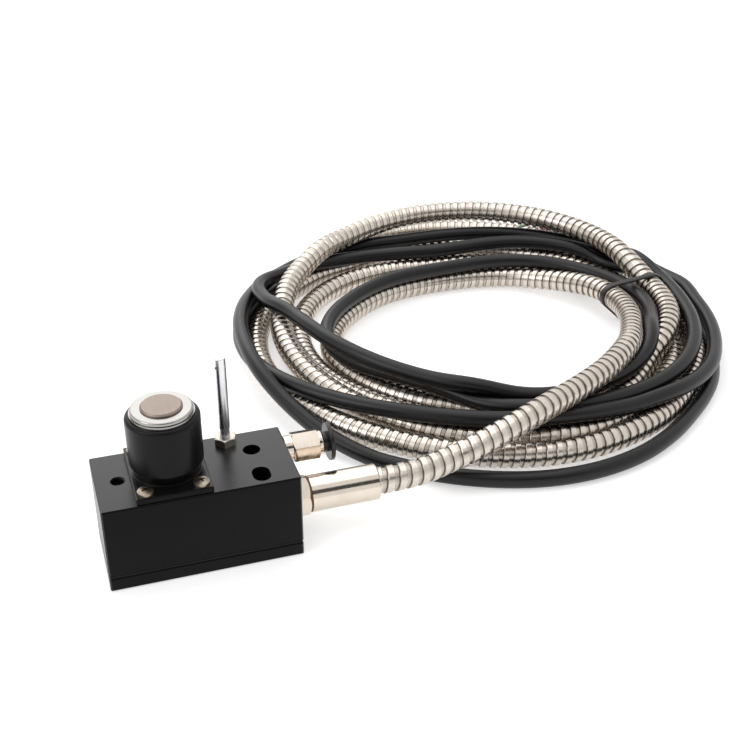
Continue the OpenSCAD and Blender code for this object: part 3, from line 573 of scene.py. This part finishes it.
@dataclass
class CoilLay:
    """How hose and cable lie: a listed lead, then turns that a loop works out from compass points."""

    sight: np.ndarray
    middle_mm: tuple[float, float] = (171.0, 120.0)
    compass_deg: float = 45.0
    steps_a_point: int = 4
    hose_d_mm: float = 11.5
    cable_d_mm: float = 7.5
    # The hose ends at this angle of this turn, and the cable at this angle of the last one.
    joint_turn: int = 4
    joint_deg: float = 110.0
    end_deg: float = 50.0
    # The joint sleeve's wall, and the room it is left: back over the hose, and tapering along the cable.
    sleeve_wall_mm: float = 0.5
    sleeve_back_mm: float = 25.0
    sleeve_taper_mm: float = 45.0
    # The cable's second turn swings out at the left: turn, angle, how far and over how wide an angle.
    swing_turn: int = 5
    swing_deg: float = 148.0
    swing_mm: float = 13.0
    swing_span_deg: float = 13.0
    # Spacing of the points while they settle, and on the finished lines.
    spacing_mm: float = 6.0
    line_step_mm: float = 2.0
    # Each pass takes these shares of an overlap and of a tight bend.
    settle_passes: int = 120
    push_share: float = 1.3
    ease_share: float = 0.3
    # A push is spread along the strand this many times, and only this share goes across the line of sight.
    spread_passes: int = 4
    across_share: float = 0.35
    # Points that are nearer along the cord than this many hose diameters don't push each other.
    near_diameters: float = 5.0
    hose_bend_mm: float = 50.0
    cable_bend_mm: float = 26.0
    # The lead's points up to the eighth stay where they are, and at the third the hose leaves the gland.
    rigid_points: int = 8
    exit_points: int = 3
    lead_mm: tuple[Point, ...] = (
        (55.4, -2.5, 16.5), (64.2, -2.5, 16.5), (73.2, -2.5, 16.5), (80.2, -2.5, 16.5),
        (87.2, -2.0, 16.5), (94.2, -1.0, 16.5), (99.2, 0.0, 17.0), (106.7, 2.0, 17.5),
        (115.0, 3.0, 19.0), (127.0, 5.5, 21.5), (140.0, 9.0, 24.0), (155.0, 15.0, 25.5),
        (174.0, 25.0, 25.0), (190.0, 34.0, 25.0), (205.0, 45.0, 24.0), (219.0, 58.0, 23.0),
        (231.0, 76.0, 21.0), (238.0, 92.0, 19.0),
    )
    turns: tuple[Turn, ...] = (
        Turn((73, 68, 62, 70, 81, 76, 78, 74), (15, 8, 6, 6, 6, 6, 6, 6)),
        Turn((82, 84, 82, 95, 94, 88, 89.5, 89), (6, 6, 6, 6, 6, 6, 6, 9)),
        Turn((96, 108, 110, 107, 103, 99, 100.5, 95), (16, 25, 26, 20, 13, 8, 6, 6)),
        Turn((93.5, 99, 102, 114, 117, 112, 112, 104), (6, 6, 6, 6, 6, 6, 6, 6)),
        Turn((105, 124, 131, 126, 124.5, 125.5, 127, 113.5), (6, 6, 6, 8, 19, 4, 4, 4)),
        Turn((113.5, 99, 83, 112, 93, 80, 80, 85), (4, 15, 15, 14, 25, 22, 15, 16)),
        Turn((85, 72, 60, 68, 83, 74, 91, 103), (16, 15, 15, 15, 13.5, 14, 15, 16)),
        Turn((104, 108, 102, 121, 123.5, 102, 99, 112), (17, 15, 15, 6, 13.5, 15, 15, 12)),
        Turn((118, 131, 130), (9.5, 4, 4)),
    )

    def route(self) -> tuple[Line, Line]:
        """Work out where hose and cable lie.

        Returns:
            The hose's and the cable's centrelines.
        """
        reach = np.array([r for turn in self.turns for r in turn.reach])
        height = np.array([h for turn in self.turns for h in turn.height])
        compass = np.arange(len(reach)) * self.compass_deg
        end = 360.0 * (len(self.turns) - 1) + self.end_deg
        angles = np.arange(0.0, end, self.compass_deg / self.steps_a_point)
        swing = (angles - 360.0 * self.swing_turn - self.swing_deg) / self.swing_span_deg
        far = self.rounded(angles, compass, reach) + self.swing_mm * np.exp(-swing ** 2)
        high = self.rounded(angles, compass, height)
        x0, y0 = self.middle_mm
        bearing = np.radians(angles)
        coil = np.column_stack([x0 + far * np.cos(bearing), y0 + far * np.sin(bearing), high])
        points = smooth_curve(np.vstack([self.lead_mm, coil]), self.spacing_mm)
        joint_at = coil[np.searchsorted(angles, 360.0 * self.joint_turn + self.joint_deg)]
        joint = int(np.argmin(np.linalg.norm(points - joint_at, axis=1)))
        settled = self.settle(points, self.radii(len(points), joint)) * MM
        step = self.line_step_mm * MM
        return Line(smooth_curve(settled[:joint + 1], step)), Line(smooth_curve(settled[joint:], step))

    def radii(self, count: int, joint: int) -> np.ndarray:
        """Give the room that each point needs: hose, then cable, with the sleeve at the joint.

        Args:
            count: Number of points.
            joint: Number of the point where the hose ends.

        Returns:
            Radius at each point in mm.
        """
        hose_r, cable_r = self.hose_d_mm / 2, self.cable_d_mm / 2
        past = (np.arange(count) - joint) * self.spacing_mm
        sleeve_r = hose_r + self.sleeve_wall_mm
        swell = np.clip(1 - past / self.sleeve_taper_mm, 0, 1) * (sleeve_r - cable_r)
        covered = np.where(past < 0, sleeve_r, cable_r + swell)
        return np.where(past < -self.sleeve_back_mm, hose_r, covered)

    @staticmethod
    def rounded(at: np.ndarray, compass: np.ndarray, value: np.ndarray) -> np.ndarray:
        """Read a rounded curve through evenly spaced compass values.

        Args:
            at: Angles to read at.
            compass: Angles of the values.
            value: The values.

        Returns:
            The curve's values at the angles.
        """
        place = (at - compass[0]) / (compass[1] - compass[0])
        i = np.clip(place.astype(int), 0, len(value) - 2)
        t = place - i
        padded = np.concatenate([value[:1], value, value[-1:]])
        a, b, c, d = (padded[i + k] for k in range(4))
        return b + t * ((c - a) + t * ((2 * a - 5 * b + 4 * c - d) + t * (3 * (b - c) + d - a))) / 2

    def settle(self, points: np.ndarray, radius: np.ndarray) -> np.ndarray:
        """Push strands apart until they lie on each other and on the floor, and ease tight bends.

        Args:
            points: Centreline points in mm.
            radius: Radius at each point in mm.

        Returns:
            The settled points.
        """
        place = points.copy()
        number = np.arange(len(points))
        near_mm = self.near_diameters * self.hose_d_mm
        apart = np.abs(number[:, None] - number[None, :]) * self.spacing_mm > near_mm
        need = radius[:, None] + radius[None, :]
        rigid = np.argmin(np.linalg.norm(points - self.lead_mm[self.rigid_points - 1], axis=1))
        free = (number > rigid)[:, None]
        bend_mm = np.where(radius < self.hose_d_mm / 2, self.cable_bend_mm, self.hose_bend_mm)
        slack = self.spacing_mm ** 2 / bend_mm
        for _ in range(self.settle_passes):
            gap = place[:, None, :] - place[None, :, :]
            distance = np.linalg.norm(gap, axis=2) + 1e-6
            sunk = np.where(apart & (distance < need), need - distance, 0.0)
            count = np.maximum((sunk > 0).sum(axis=1), 1)
            push = (gap * (sunk / distance / 2)[:, :, None]).sum(axis=1) / count[:, None]
            along = (push @ self.sight)[:, None] * self.sight
            push = along + self.across_share * (push - along)
            for _ in range(self.spread_passes):
                push[1:-1] = (push[:-2] + 2 * push[1:-1] + push[2:]) / 4
            place += self.push_share * push * free
            bend = np.zeros_like(place)
            bend[1:-1] = place[:-2] - 2 * place[1:-1] + place[2:]
            excess = np.clip(1 - slack / (np.linalg.norm(bend, axis=1) + 1e-9), 0, 1)
            place += self.ease_share * bend * excess[:, None] * free
            place[:, 2] = np.maximum(place[:, 2], radius)
        return place


@dataclass
class CoilPieces:
    """The armoured hose, the cable and what is on them."""

    lay: CoilLay
    hose_pitch_mm: float = 4.5
    hose_sides: int = 24
    # Near the gland the strip is pulled out: this much more a turn, fading over this many turns.
    stretch_mm: float = 0.8
    stretch_turns: float = 14.0
    # Share of the pitch, height below the crest in mm, and brightness (painted shade) of each point of the
    # strip's section.
    strip_section: tuple[tuple[float, float, float], ...] = (
        (0.00, 0.7, 0.12), (0.05, 0.12, 0.6), (0.09, 0.0, 1.0),
        (0.58, 0.05, 1.0), (0.64, 0.6, 0.8), (0.92, 0.7, 0.6),
    )
    # Edges of the strip that turn by more than this stay crisp.
    strip_crisp_deg: float = 30.0
    # The joint sleeve goes this far over hose and cable, along this many points of each, and fits this close.
    sleeve_over_mm: float = 18.0
    sleeve_points: int = 12
    sleeve_fit_mm: float = 0.1
    sleeve_sides: int = 20
    cable_sides: int = 16
    cable_step_mm: float = 4.0
    cut_edge_mm: float = 0.4
    # The wires start this many points inside the cable's cut end.
    wire_points: int = 4
    wire_r_mm: float = 0.9
    wire_sides: int = 10
    wire_rings: int = 28
    # Where the two wires go from the cable's cut end, in mm.
    red_mm: tuple[Point, ...] = (
        (261.0, 218.5, 6.5), (256.5, 220.0, 11.0), (251.5, 219.0, 13.2),
        (246.0, 216.0, 12.6), (240.0, 214.0, 13.4), (234.8, 212.6, 14.4),
    )
    green_mm: tuple[Point, ...] = (
        (262.0, 220.5, 4.6), (255.5, 225.5, 9.5), (247.0, 225.5, 13.0),
        (241.0, 224.5, 13.3), (236.0, 223.5, 13.2), (230.0, 220.5, 13.0),
    )

    def __post_init__(self) -> None:
        """Find where hose and cable lie."""
        self.hose_line, self.cable_line = self.lay.route()

    def build(self) -> None:
        hose = self.hose()
        sleeve = self.joint_sleeve()
        cable = self.cable()
        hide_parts("hose_lead", "cord_coil")
        for piece in (sleeve, cable):
            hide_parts("cord_coil")
        self.wires()

    @property
    def pulled(self) -> float:
        """How much longer the pulled-out strip makes the hose, in metres."""
        return self.stretch_mm * self.stretch_turns * MM

    def hose(self) -> Object:
        """Wind the hose's strip: one section swept along a helix, each turn hooked to the next.

        Returns:
            The hose.
        """
        turns = (self.hose_line.length - self.pulled) / (self.hose_pitch_mm * MM) - 1.0
        last = int(turns * self.hose_sides)
        points = np.vstack([self.strip_points(last), self.hose_line.points[[0, -1]]])
        piece = mesh_piece("armoured_hose", points, self.strip_faces(last))
        # Painted shade: each point's brightness, low in the joint and on the lower band.
        bright = np.tile([row[2] for row in self.strip_section], last + 1)
        crest = piece.data.attributes.new("crest", "FLOAT", "POINT")
        crest.data.foreach_set("value", np.concatenate([bright, [0.0, 0.0]]))
        close_up(piece, self.strip_crisp_deg)
        carry(piece, STRIP)
        return piece

    def strip_points(self, last: int) -> np.ndarray:
        """Place the strip's section at each step of the helix.

        Args:
            last: Number of the last step.

        Returns:
            The sections' points, step by step.
        """
        share, below, _ = np.array(self.strip_section).T
        pitch = self.hose_pitch_mm * MM
        crest_r = self.lay.hose_d_mm / 2 * MM
        step = np.arange(last + 1)[:, None]
        turns = step / self.hose_sides + share
        run = turns * pitch + self.pulled * (1 - np.exp(-turns / self.stretch_turns))
        angle = np.repeat(step * 2 * math.pi / self.hose_sides, len(share), axis=1)
        radius = np.tile(crest_r - below * MM, last + 1)
        return self.hose_line.ring(run.ravel(), angle.ravel(), radius)

    def strip_faces(self, last: int) -> list[tuple[int, ...]]:
        """Join the sections along the helix and each turn to the next, and close both ends.

        Args:
            last: Number of the last step.

        Returns:
            Point numbers of each face. The two after the sections' points are the middles of the ends.
        """
        n, j = self.hose_sides, len(self.strip_section)
        faces = []
        for m in range(last):
            a, b = m * j, (m + 1) * j
            faces += [(a + k, b + k, b + k + 1, a + k + 1) for k in range(j - 1)]
            if m + 1 + n <= last:
                faces.append((a + j - 1, b + j - 1, b + n * j, a + n * j))
        head = [m * j for m in range(n + 1)] + list(range(j - 1, 0, -1))
        tail = [last * j + k for k in range(j)] + [m * j + j - 1 for m in range(last - 1, last - n - 1, -1)]
        middle = (last + 1) * j
        for number, rim in ((middle, head), (middle + 1, tail)):
            faces += [(number, rim[i], rim[(i + 1) % len(rim)]) for i in range(len(rim))]
        return faces

    def joint_sleeve(self) -> Object:
        """Shrink a sleeve over the hose's end and the cable's start.

        Returns:
            The sleeve.
        """
        over, wall, fit = self.sleeve_over_mm, self.lay.sleeve_wall_mm, self.sleeve_fit_mm
        # Distance past the joint and height over the hose, then over the cable, in mm.
        on_hose = ((-over, fit), (-over, wall), (-1.0, wall), (1.5, 0.3 * wall))
        on_cable = ((5.0, 2 * wall), (7.0, wall), (over, wall), (over, fit))
        near = self.sleeve_points
        both = np.vstack([self.hose_line.points[-near:], self.cable_line.points[1:near + 2]])
        line = Line(even(both, 1 * MM))
        joint = line.length / 2
        stations = [(joint + past * MM, (diameter / 2 + rise) * MM)
                    for diameter, outline in ((self.lay.hose_d_mm, on_hose), (self.lay.cable_d_mm, on_cable))
                    for past, rise in outline]
        piece = tube("joint_sleeve", line, stations, self.sleeve_sides)
        carry(piece, SHRINK)
        return piece

    def cable(self) -> Object:
        """Sweep the cable's jacket, rounded a little at the cut end.

        Returns:
            The cable.
        """
        radius, edge = self.lay.cable_d_mm / 2 * MM, self.cut_edge_mm * MM
        length = self.cable_line.length
        runs = np.linspace(0.0, length - edge, round(length / (self.cable_step_mm * MM)))
        stations = [(float(s), radius) for s in runs] + [(length, radius - edge)]
        piece = tube("signal_cable", self.cable_line, stations, self.cable_sides)
        carry(piece, JACKET)
        return piece

    def wires(self) -> None:
        """Lay the two wires that leave the cable's end."""
        end = self.cable_line.points[-1] / MM
        inside = self.cable_line.points[-self.wire_points] / MM
        for name, finish, points in (("red_wire", WIRE_RED, self.red_mm),
                                     ("green_wire", WIRE_GREEN, self.green_mm)):
            line = Line(smooth_curve(np.vstack([inside, end, points]) * MM, 1 * MM))
            runs = np.linspace(0, line.length, self.wire_rings)
            piece = tube(name, line, [(float(s), self.wire_r_mm * MM) for s in runs], self.wire_sides)
            carry(piece, finish)
            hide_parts("cord_coil")


@dataclass
class CableTie:
    """The nylon tie: a strap pulled round the strands at the coil's right side."""

    lay: CoilLay
    lines: tuple[Line, Line]
    angle_deg: float = 1.5
    # It holds the strands that cross its plane within this reach, on the side of the coil within this angle.
    reach_mm: tuple[float, float] = (55.0, 101.0)
    side_deg: float = 20.0
    strand_points: int = 28
    width_mm: float = 3.2
    thick_mm: float = 1.1
    edge_mm: float = 0.25

    def section(self) -> np.ndarray:
        """Find the outline round the strands that the tie's plane cuts.

        Returns:
            Reach and height of the outline's points, in mm, in order.
        """
        cloud = []
        x0, y0 = self.lay.middle_mm
        turn = np.linspace(0, 2 * math.pi, self.strand_points, endpoint=False)
        for line, diameter in zip(self.lines, (self.lay.hose_d_mm, self.lay.cable_d_mm)):
            x, y, z = (line.points / MM).T
            off = np.degrees(np.arctan2(y - y0, x - x0)) - self.angle_deg
            reach = np.hypot(x - x0, y - y0)
            cuts = np.where((off[:-1] < 0) & (off[1:] >= 0) & (np.abs(off[1:]) < self.side_deg))[0]
            for i in cuts:
                if self.reach_mm[0] < reach[i] < self.reach_mm[1]:
                    r = diameter / 2
                    cloud.append(np.column_stack([reach[i] + r * np.cos(turn), z[i] + r * np.sin(turn)]))
        return self.hull(np.vstack(cloud))

    @staticmethod
    def turns_left(a: tuple[float, float], b: tuple[float, float], c: tuple[float, float]) -> bool:
        """Tell whether the way from a over b to c turns left."""
        return (b[0] - a[0]) * (c[1] - b[1]) - (b[1] - a[1]) * (c[0] - b[0]) > 0

    def hull(self, points: np.ndarray) -> np.ndarray:
        """Pull a band round points.

        Args:
            points: Points in a plane.

        Returns:
            The points that the band touches, in order.
        """
        ordered = sorted(map(tuple, points))
        band: list[tuple[float, float]] = []
        for run in (ordered, ordered[::-1]):
            part: list[tuple[float, float]] = []
            for p in run:
                while len(part) > 1 and not self.turns_left(part[-2], part[-1], p):
                    part.pop()
                part.append(p)
            band += part[:-1]
        return np.array(band)

    def build(self) -> None:
        strap = self.strap(self.section())
        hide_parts("cable_tie")
        carry(strap, NYLON)

    def place(self, reach: float, height: float, across: float) -> Vector:
        """Place a point of the tie.

        Args:
            reach: Distance from the coil's middle, in mm.
            height: Height over the floor, in mm.
            across: Step across the tie's plane, in mm.

        Returns:
            The point in metres.
        """
        turn = math.radians(self.angle_deg)
        x0, y0 = self.lay.middle_mm
        return Vector((x0 + reach * math.cos(turn) - across * math.sin(turn),
                       y0 + reach * math.sin(turn) + across * math.cos(turn), height)) * MM

    def strap(self, outline: np.ndarray) -> Object:
        """Extrude the outline to the strap's width and give it its thickness.

        Args:
            outline: Reach and height of the strap's inner points, in order.

        Returns:
            The strap.
        """
        deselect_all()
        bpy.ops.mesh.primitive_circle_add(vertices=len(outline), radius=self.width_mm * MM)
        strap = bpy.context.object
        strap.name = "tie_strap"
        for vertex, (reach, height) in zip(strap.data.vertices, outline):
            vertex.co = self.place(reach, max(height, self.thick_mm), -self.width_mm / 2)
        bpy.ops.object.mode_set(mode="EDIT")
        bpy.ops.mesh.select_all(action="SELECT")
        step = self.place(0, 0, self.width_mm) - self.place(0, 0, 0)
        bpy.ops.mesh.extrude_region_move(TRANSFORM_OT_translate={"value": step})
        bpy.ops.mesh.select_all(action="SELECT")
        bpy.ops.mesh.normals_make_consistent(inside=False)
        bpy.ops.object.mode_set(mode="OBJECT")
        wall = strap.modifiers.new("wall", "SOLIDIFY")
        wall.thickness = self.thick_mm * MM
        wall.offset = 1.0
        edge = strap.modifiers.new("edge", "BEVEL")
        edge.width = self.edge_mm * MM
        edge.segments = 2
        edge.limit_method = "ANGLE"
        apply_all(strap)
        close_up(strap)
        return strap


@dataclass
class NeckThread:
    """The fine thread between the blow tube's hex bush and the tube."""

    lift_mm: float = 0.3
    # Distance from the tube's axis to the middle of the tooth, and from there to the tooth's corners.
    middle_r_mm: float = 1.94
    tooth_r_mm: float = 0.186
    pitch_mm: float = 0.7
    turns: int = 5
    steps_a_turn: int = 28

    def foot(self) -> Vector:
        """Return the thread's foot: on the blow tube's axis, a little above the bush."""
        low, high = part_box("blow_tube")
        place = (low + high) / 2
        place.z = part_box("tube_bush")[1].z + self.lift_mm * MM
        return place

    def build(self) -> None:
        """Turn a small three-sided tooth along a helix."""
        deselect_all()
        bpy.ops.mesh.primitive_circle_add(vertices=3, radius=self.tooth_r_mm * MM, fill_type="NGON",
                                          rotation=(math.pi / 2, 0.0, 0.0))
        thread = bpy.context.object
        thread.name = "neck_thread"
        bpy.ops.object.transform_apply(location=True, rotation=True, scale=True)
        bpy.ops.object.mode_set(mode="EDIT")
        bpy.ops.mesh.select_all(action="SELECT")
        bpy.ops.transform.rotate(value=math.pi / 2, orient_axis="Y", center_override=(0.0, 0.0, 0.0))
        bpy.ops.transform.translate(value=(self.middle_r_mm * MM, 0.0, 0.0))
        bpy.ops.object.mode_set(mode="OBJECT")
        helix = thread.modifiers.new("helix", "SCREW")
        helix.screw_offset = self.pitch_mm * MM
        helix.iterations = self.turns
        helix.steps = helix.render_steps = self.steps_a_turn
        thread.location = self.foot()
        apply_all(thread)
        close_up(thread)
        carry(thread, CHROME)


class HousingDress:
    """Finishes of the block, its head and its fittings, on the CAD nodes as they are."""

    finishes: dict[str, Finish] = {
        "block": ANODISED, "base_plate": ANODISED, "base_gasket": RUBBER, "base_screws": STAINLESS,
        "vent_plug": OXIDE, "head_base": ANODISED, "flange_screws": SCREW, "guide_bush": BRONZE,
        "wiper_ring": RUBBER, "return_spring": SPRING, "head_sleeve": SLEEVE, "cap_ring": POLISHED,
        "contact_disc": HARD_METAL, "plunger_shaft": STAINLESS, "contact_bridge": BRASS,
        "bridge_screw": STAINLESS, "contact_carrier": LAMINATE, "contact_pins": BRASS,
        "carrier_screws": STAINLESS, "core_leads": CORE, "tube_bush": BUSH, "blow_tube": CHROME,
        "air_fitting": NICKEL, "air_washer": ACETAL, "tube_seal": RUBBER, "tube_gripper": SPRING,
        "release_ring": ACETAL, "gland_nut": NICKEL, "gland_gasket": FIBRE, "gland_sleeve": NICKEL,
        "hose_lead": STRIP, "cord_coil": JACKET, "cable_tie": NYLON,
    }

    def build(self) -> None:
        """Dress every CAD node."""
        for name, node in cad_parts.items():
            dress(node, self.finishes[name])
            LOG.info("node %s: %s", name, self.finishes[name].name)
        self.shorten_spring()

    def shorten_spring(self) -> None:
        """Give the return spring a mesh of its own."""
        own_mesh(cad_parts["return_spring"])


@dataclass
class Studio:
    """The camera at the photograph's angle, the white floor and the soft light."""

    eye_mm: Point = (-52.6, -394.8, 310.0)
    target_mm: Point = (107.1, 105.55, 0.0)
    lens_mm: float = 59.26
    sensor_mm: float = 36.0
    nearest_m: float = 0.01
    aim_m: Point = (0.1, 0.08, 0.0)
    room_light: float = 0.55
    floor_m: float = 6.0
    floor_at_m: Point = (0.1, 0.1, 0.0)
    floor_lift: float = 0.5
    screen_m: tuple[float, float] = (1.8, 1.0)
    screen_at_m: Point = (0.0, -1.4, 1.2)

    def sight(self) -> np.ndarray:
        """Return the unit vector from the camera to its target."""
        look = np.subtract(self.target_mm, self.eye_mm)
        return look / np.linalg.norm(look)

    def camera(self) -> None:
        """Set the camera by eye, target and lens."""
        data = bpy.data.cameras.new("camera")
        data.lens = self.lens_mm
        data.sensor_width = self.sensor_mm
        data.clip_start = self.nearest_m
        camera = bpy.data.objects.new("camera", data)
        eye, target = Vector(self.eye_mm) * MM, Vector(self.target_mm) * MM
        camera.location = eye
        camera.rotation_euler = (target - eye).to_track_quat("-Z", "Y").to_euler()
        bpy.context.scene.collection.objects.link(camera)
        bpy.context.scene.camera = camera

    def lamp(self, name: str, place: Point, size: float, power: float) -> None:
        """Hang a square soft lamp that faces the object.

        Args:
            name: Name of the lamp.
            place: Its middle in metres.
            size: Its side in metres.
            power: Its power in watts.
        """
        data = bpy.data.lights.new(name, "AREA")
        data.size = size
        data.energy = power
        lamp = bpy.data.objects.new(name, data)
        lamp.location = place
        lamp.rotation_euler = (Vector(self.aim_m) - Vector(place)).to_track_quat("-Z", "Y").to_euler()
        bpy.context.scene.collection.objects.link(lamp)

    def light(self) -> None:
        """Light the object: soft lamps above, at the left and behind at the left, in a white room."""
        self.lamp("top_lamp", (0.1, 0.35, 1.4), size=1.3, power=5.5)
        self.lamp("left_lamp", (-1.1, -0.25, 0.85), size=0.7, power=4.0)
        self.lamp("back_lamp", (-0.05, 1.3, 0.95), size=1.1, power=5.6)
        world = bpy.data.worlds.new("white_room")
        bpy.context.scene.world = world
        world.use_nodes = True
        tree = world.node_tree
        room = tree.nodes["Background"]
        room.inputs["Color"].default_value = WHITE
        room.inputs["Strength"].default_value = self.room_light
        shown = add_node(tree, "ShaderNodeBackground", inputs={"Color": WHITE, "Strength": 1.0})
        mix = add_node(tree, "ShaderNodeMixShader", inputs={
            0: self.seen(tree), 1: room.outputs[0], 2: shown.outputs[0]})
        tree.links.new(mix.outputs[0], tree.nodes["World Output"].inputs[0])

    @staticmethod
    def seen(tree: NodeTree) -> NodeSocket:
        """Tell the rays that show the background from those that light the object.

        Args:
            tree: Node tree of the world or the floor.

        Returns:
            1 for camera, glossy and transmission rays, 0 for the rest.
        """
        path = add_node(tree, "ShaderNodeLightPath")
        direct = add_node(tree, "ShaderNodeMath", {"operation": "ADD", "use_clamp": True}, {
            0: path.outputs["Is Camera Ray"], 1: path.outputs["Is Glossy Ray"]})
        return add_node(tree, "ShaderNodeMath", {"operation": "ADD", "use_clamp": True}, {
            0: direct.outputs[0], 1: path.outputs["Is Transmission Ray"]}).outputs[0]

    @staticmethod
    def plain(name: str, code: str) -> Material:
        """Make an even material for the stage.

        Args:
            name: Name of the material.
            code: Its colour as "#rrggbb".

        Returns:
            The material.
        """
        made = bpy.data.materials.new(name)
        made.use_nodes = True
        made.node_tree.nodes["Principled BSDF"].inputs["Base Color"].default_value = linear(code)
        return made

    def floor(self) -> None:
        """Lay the white floor: the lamps light it, and a lift for the eye alone takes it to white."""
        deselect_all()
        bpy.ops.mesh.primitive_plane_add(size=self.floor_m, location=self.floor_at_m)
        floor = bpy.context.object
        floor.name = "floor"
        paper = self.plain("white_paper", "#f7f7f7")
        tree = paper.node_tree
        shader = tree.nodes["Principled BSDF"]
        shader.inputs["Roughness"].default_value = 0.9
        shader.inputs["Specular IOR Level"].default_value = 0.0
        shader.inputs["Emission Color"].default_value = WHITE
        lift = add_node(tree, "ShaderNodeMath", {"operation": "MULTIPLY"}, {
            0: self.seen(tree), 1: self.floor_lift})
        tree.links.new(lift.outputs[0], shader.inputs["Emission Strength"])
        floor.data.materials.append(paper)

    def screen(self) -> None:
        """Stand a dark felt screen in front, out of the camera's sight, for metal to reflect."""
        deselect_all()
        upright = (math.pi / 2, 0.0, 0.0)
        bpy.ops.mesh.primitive_plane_add(size=1.0, location=self.screen_at_m, rotation=upright)
        screen = bpy.context.object
        screen.name = "front_screen"
        screen.scale = (*self.screen_m, 1.0)
        screen.visible_camera = False
        screen.data.materials.append(self.plain("dark_felt", "#272727"))

    def build(self) -> None:
        """Set up floor, screen, light and view transform."""
        self.floor()
        self.screen()
        self.light()
        bpy.context.scene.view_settings.view_transform = "Standard"


def main() -> None:
    """Build and dress everything in order and note its size."""
    logging.basicConfig(level=logging.INFO, format="%(name)s: %(message)s")
    studio = Studio()
    studio.camera()
    lay = CoilLay(studio.sight())
    coil = CoilPieces(lay)
    coil.build()
    CableTie(lay, (coil.hose_line, coil.cable_line)).build()
    NeckThread().build()
    HousingDress().build()
    studio.build()
    LOG.info("hose %.2f m, cable %.2f m", coil.hose_line.length, coil.cable_line.length)


if __name__ == "__main__":
    main()
